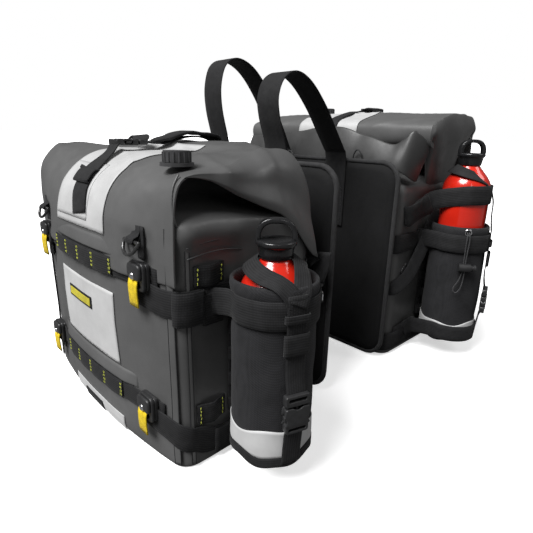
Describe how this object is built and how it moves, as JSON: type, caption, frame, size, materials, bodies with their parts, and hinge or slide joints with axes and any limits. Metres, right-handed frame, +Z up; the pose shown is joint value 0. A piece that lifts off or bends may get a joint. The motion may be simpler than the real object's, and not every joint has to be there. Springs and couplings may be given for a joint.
{
  "type": "motorcycle saddlebag pair",
  "caption": "Roll-top waterproof saddlebags joined by webbing yoke straps over the seat, with bottle holsters, compression straps, buckles, D-rings and purge valves.",
  "frame": {"origin": "centre of the pair's bounding box, on the surface that both bags stand on", "axes": "+X along the bags towards the bottle ends, +Y from the left bag to the right bag, +Z up"},
  "size_m": [0.59, 0.7774, 0.5593],
  "materials": {
    "tarpaulin": "coated fabric, semi-gloss with a fine grain",
    "reflective_fabric": "pale reflective fabric, satin",
    "label_yellow": "woven label",
    "tab_yellow": "tough woven tab",
    "webbing": "ribbed nylon webbing",
    "rail_rubber": "matt rubber strip",
    "stiffener_board": "plain sheet",
    "buckle_plastic": "moulded acetal",
    "valve_plastic": "moulded, ribbed",
    "rivet_metal": "polished",
    "ring_metal": "black coated steel",
    "holster_cordura": "coarse nylon weave",
    "bottle_red": "gloss lacquer",
    "cap_black": "gloss",
    "panel_fabric": "padded mesh fabric",
    "cord_black": "braided"
  },
  "bodies": {
    "left_bag": {"left_shell": "tarpaulin", "left_roll_top": "tarpaulin", "left_inner_stiffeners": "stiffener_board", "left_reflective_trim": "reflective_fabric", "left_label": "label_yellow", "left_edge_rails": "rail_rubber", "left_webbing_loops": "webbing", "left_anchor_buckles": "buckle_plastic", "left_rivets": "rivet_metal", "left_pull_tabs": "tab_yellow", "left_side_straps": "webbing", "left_valve_seat": "valve_plastic", "left_top_strap": "webbing", "left_top_buckle_socket": "buckle_plastic", "left_holster": "holster_cordura", "left_bottle": "bottle_red", "left_bottle_straps": "webbing", "left_holster_buckle_socket": "buckle_plastic", "left_back_panel": "panel_fabric"},
    "left_front_d_ring": {"left_front_d_ring": "ring_metal"},
    "left_rear_d_ring": {"left_rear_d_ring": "ring_metal"},
    "left_valve_knob": {"left_valve_knob": "valve_plastic"},
    "left_top_buckle_prong": {"left_top_buckle_prong": "buckle_plastic"},
    "left_bottle_cap": {"left_bottle_cap": "cap_black"},
    "left_holster_buckle_prong": {"left_holster_buckle_prong": "buckle_plastic"},
    "right_bag": {"right_shell": "tarpaulin", "right_roll_top": "tarpaulin", "right_inner_stiffeners": "stiffener_board", "right_reflective_trim": "reflective_fabric", "right_label": "label_yellow", "right_edge_rails": "rail_rubber", "right_webbing_loops": "webbing", "right_anchor_buckles": "buckle_plastic", "right_rivets": "rivet_metal", "right_pull_tabs": "tab_yellow", "right_side_straps": "webbing", "right_valve_seat": "valve_plastic", "right_top_strap": "webbing", "right_top_buckle_socket": "buckle_plastic", "right_holster": "holster_cordura", "right_bottle": "bottle_red", "right_bottle_straps": "webbing", "right_holster_buckle_socket": "buckle_plastic", "right_back_panel": "panel_fabric", "drawcord": "cord_black", "cord_lock": "buckle_plastic"},
    "right_front_d_ring": {"right_front_d_ring": "ring_metal"},
    "right_rear_d_ring": {"right_rear_d_ring": "ring_metal"},
    "right_valve_knob": {"right_valve_knob": "valve_plastic"},
    "right_top_buckle_prong": {"right_top_buckle_prong": "buckle_plastic"},
    "right_bottle_cap": {"right_bottle_cap": "cap_black"},
    "right_holster_buckle_prong": {"right_holster_buckle_prong": "buckle_plastic"},
    "yoke": {"front_yoke_strap": "webbing", "rear_yoke_strap": "webbing"},
    "snap_hook": {"snap_hook": "ring_metal"},
    "snap_gate": {"snap_gate": "ring_metal"},
    "lock_plunger": {"lock_plunger": "buckle_plastic"}
  },
  "joints": [
    {"name": "yoke_left_flex", "type": "hinge", "parent": "left_bag", "child": "yoke", "pos_m": [-0.046, -0.0645, 0.392], "axis": [1, 0, 0], "range_deg": [-10, 20]},
    {"name": "yoke_right_flex", "type": "hinge", "parent": "yoke", "child": "right_bag", "pos_m": [-0.046, 0.1025, 0.392], "axis": [1, 0, 0], "range_deg": [-12, 30]},
    {"name": "left_valve_twist", "type": "hinge", "parent": "left_bag", "child": "left_valve_knob", "pos_m": [0.12, -0.321, 0.4], "axis": [0, 0, 1], "range_deg": [0, 90]},
    {"name": "left_front_ring_swing", "type": "hinge", "parent": "left_bag", "child": "left_front_d_ring", "pos_m": [0.101, -0.37522, 0.304], "axis": [1, 0, 0], "range_deg": [-95, 25]},
    {"name": "left_rear_ring_swing", "type": "hinge", "parent": "left_bag", "child": "left_rear_d_ring", "pos_m": [-0.199, -0.37522, 0.304], "axis": [1, 0, 0], "range_deg": [-95, 25]},
    {"name": "left_top_buckle_release", "type": "slide", "parent": "left_bag", "child": "left_top_buckle_prong", "axis": [0, 1, 0], "range_m": [0, 0.026]},
    {"name": "left_holster_buckle_release", "type": "slide", "parent": "left_bag", "child": "left_holster_buckle_prong", "axis": [0, 0, 1], "range_m": [0, 0.03]},
    {"name": "left_cap_turn", "type": "hinge", "parent": "left_bag", "child": "left_bottle_cap", "pos_m": [0.225, -0.258, 0.296], "axis": [0, 0, 1], "continuous": true},
    {"name": "right_valve_twist", "type": "hinge", "parent": "right_bag", "child": "right_valve_knob", "pos_m": [-0.17, 0.313, 0.485], "axis": [0, 0, 1], "range_deg": [0, 90]},
    {"name": "right_front_ring_swing", "type": "hinge", "parent": "right_bag", "child": "right_front_d_ring", "pos_m": [0.101, 0.37522, 0.304], "axis": [1, 0, 0], "range_deg": [-25, 95]},
    {"name": "right_rear_ring_swing", "type": "hinge", "parent": "right_bag", "child": "right_rear_d_ring", "pos_m": [-0.199, 0.37522, 0.304], "axis": [1, 0, 0], "range_deg": [-25, 95]},
    {"name": "right_top_buckle_release", "type": "slide", "parent": "right_bag", "child": "right_top_buckle_prong", "axis": [0, -1, 0], "range_m": [0, 0.026]},
    {"name": "right_holster_buckle_release", "type": "slide", "parent": "right_bag", "child": "right_holster_buckle_prong", "axis": [0, 0, 1], "range_m": [0, 0.03]},
    {"name": "right_cap_turn", "type": "hinge", "parent": "right_bag", "child": "right_bottle_cap", "pos_m": [0.225, 0.258, 0.386], "axis": [0, 0, 1], "continuous": true},
    {"name": "hook_swivel", "type": "hinge", "parent": "left_bag", "child": "snap_hook", "pos_m": [0.161, -0.096, 0.2], "axis": [0, 0, 1], "continuous": true},
    {"name": "hook_gate", "type": "hinge", "parent": "snap_hook", "child": "snap_gate", "pos_m": [0.1702, -0.096, 0.1801], "axis": [0, 1, 0], "range_deg": [-22, 0], "stiffness_Nm_per_rad": 0.02},
    {"name": "lock_press", "type": "slide", "parent": "right_bag", "child": "lock_plunger", "axis": [-0.788, -0.6157, 0], "range_m": [0, 0.005], "stiffness_N_per_m": 200}
  ]
}
